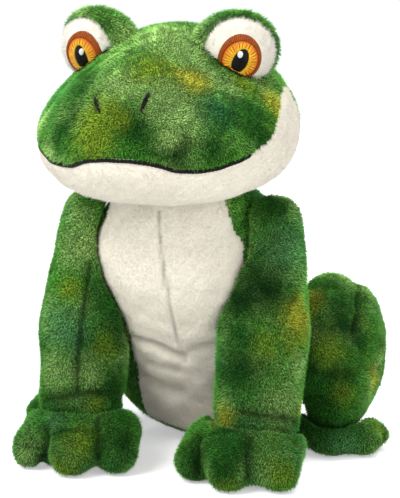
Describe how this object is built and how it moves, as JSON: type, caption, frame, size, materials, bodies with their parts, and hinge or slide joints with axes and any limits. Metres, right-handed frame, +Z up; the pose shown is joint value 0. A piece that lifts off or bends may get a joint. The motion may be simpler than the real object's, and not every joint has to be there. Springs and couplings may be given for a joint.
{
  "type": "plush frog",
  "caption": "Seated plush frog with stuffed body, head, arms, paws, legs and feet, cream jaw and belly, and embroidered eyes.",
  "frame": {"origin": "centre of the box under the seat, on the surface that the frog sits on", "axes": "+Z up, -Y towards the nose, +X towards the frog's own left"},
  "size_m": [0.2434, 0.2334, 0.2793],
  "materials": {
    "green_plush": "mottled short pile",
    "cream_plush": "short pile",
    "eye_plush": "short pile",
    "black_thread": "satin stitch",
    "amber_thread": "satin stitch",
    "maroon_thread": "satin stitch",
    "white_thread": "satin stitch",
    "fibre_filling": "loose fibre",
    "pellet_bag": "woven bag"
  },
  "bodies": {
    "torso": {"body_cover": "green_plush", "belly_panel": "cream_plush", "body_stuffing": "fibre_filling", "pellet_bag": "pellet_bag"},
    "neck": {"neck_disc": "green_plush"},
    "head": {"head_cover": "green_plush", "chin_cover": "cream_plush", "head_stuffing": "fibre_filling", "mouth_piping": "black_thread", "nostril_left": "black_thread", "eye_cover_left": "eye_plush", "eye_stuffing_left": "fibre_filling", "eyelid_left": "green_plush", "iris_rim_left": "maroon_thread", "iris_left": "amber_thread", "pupil_left": "black_thread", "glint_left": "white_thread", "nostril_right": "black_thread", "eye_cover_right": "eye_plush", "eye_stuffing_right": "fibre_filling", "eyelid_right": "green_plush", "iris_rim_right": "maroon_thread", "iris_right": "amber_thread", "pupil_right": "black_thread", "glint_right": "white_thread"},
    "arm_left": {"arm_cover_left": "green_plush", "arm_stuffing_left": "fibre_filling"},
    "paw_left": {"paw_cover_left": "green_plush", "paw_stuffing_left": "fibre_filling"},
    "leg_left": {"leg_cover_left": "green_plush", "leg_stuffing_left": "fibre_filling"},
    "foot_left": {"foot_cover_left": "green_plush", "foot_stuffing_left": "fibre_filling"},
    "arm_right": {"arm_cover_right": "green_plush", "arm_stuffing_right": "fibre_filling"},
    "paw_right": {"paw_cover_right": "green_plush", "paw_stuffing_right": "fibre_filling"},
    "leg_right": {"leg_cover_right": "green_plush", "leg_stuffing_right": "fibre_filling"},
    "foot_right": {"foot_cover_right": "green_plush", "foot_stuffing_right": "fibre_filling"}
  },
  "joints": [
    {"name": "head_turn", "type": "hinge", "parent": "torso", "child": "neck", "pos_m": [0, -0.0015, 0.156], "axis": [0, 0, 1], "range_deg": [-15, 15], "stiffness_Nm_per_rad": 0.8},
    {"name": "head_nod", "type": "hinge", "parent": "neck", "child": "head", "pos_m": [0, -0.0015, 0.156], "axis": [1, 0, 0], "range_deg": [-7, 7], "stiffness_Nm_per_rad": 1.2},
    {"name": "arm_left_swing", "type": "hinge", "parent": "torso", "child": "arm_left", "pos_m": [0, 0.0125, 0.127], "axis": [-1, 0, 0], "range_deg": [0, 30], "stiffness_Nm_per_rad": 0.8, "springref_deg": -5.73},
    {"name": "paw_left_flex", "type": "hinge", "parent": "arm_left", "child": "paw_left", "pos_m": [0.056, -0.0275, 0.038], "axis": [1, 0, 0], "range_deg": [-10, 10], "stiffness_Nm_per_rad": 0.4},
    {"name": "leg_left_swing", "type": "hinge", "parent": "torso", "child": "leg_left", "pos_m": [0, 0.0565, 0.0595], "axis": [-1, 0, 0], "range_deg": [0, 12], "stiffness_Nm_per_rad": 0.8, "springref_deg": -5.73},
    {"name": "foot_left_flex", "type": "hinge", "parent": "leg_left", "child": "foot_left", "pos_m": [0.087, 0.0395, 0.029], "axis": [1, 0, 0], "range_deg": [-8, 8], "stiffness_Nm_per_rad": 0.4},
    {"name": "arm_right_swing", "type": "hinge", "parent": "torso", "child": "arm_right", "pos_m": [0, 0.0125, 0.127], "axis": [-1, 0, 0], "range_deg": [0, 30], "stiffness_Nm_per_rad": 0.8, "springref_deg": -5.73},
    {"name": "paw_right_flex", "type": "hinge", "parent": "arm_right", "child": "paw_right", "pos_m": [-0.056, -0.0275, 0.038], "axis": [1, 0, 0], "range_deg": [-10, 10], "stiffness_Nm_per_rad": 0.4},
    {"name": "leg_right_swing", "type": "hinge", "parent": "torso", "child": "leg_right", "pos_m": [0, 0.0565, 0.0595], "axis": [-1, 0, 0], "range_deg": [0, 12], "stiffness_Nm_per_rad": 0.8, "springref_deg": -5.73},
    {"name": "foot_right_flex", "type": "hinge", "parent": "leg_right", "child": "foot_right", "pos_m": [-0.087, 0.0395, 0.029], "axis": [1, 0, 0], "range_deg": [-8, 8], "stiffness_Nm_per_rad": 0.4}
  ]
}
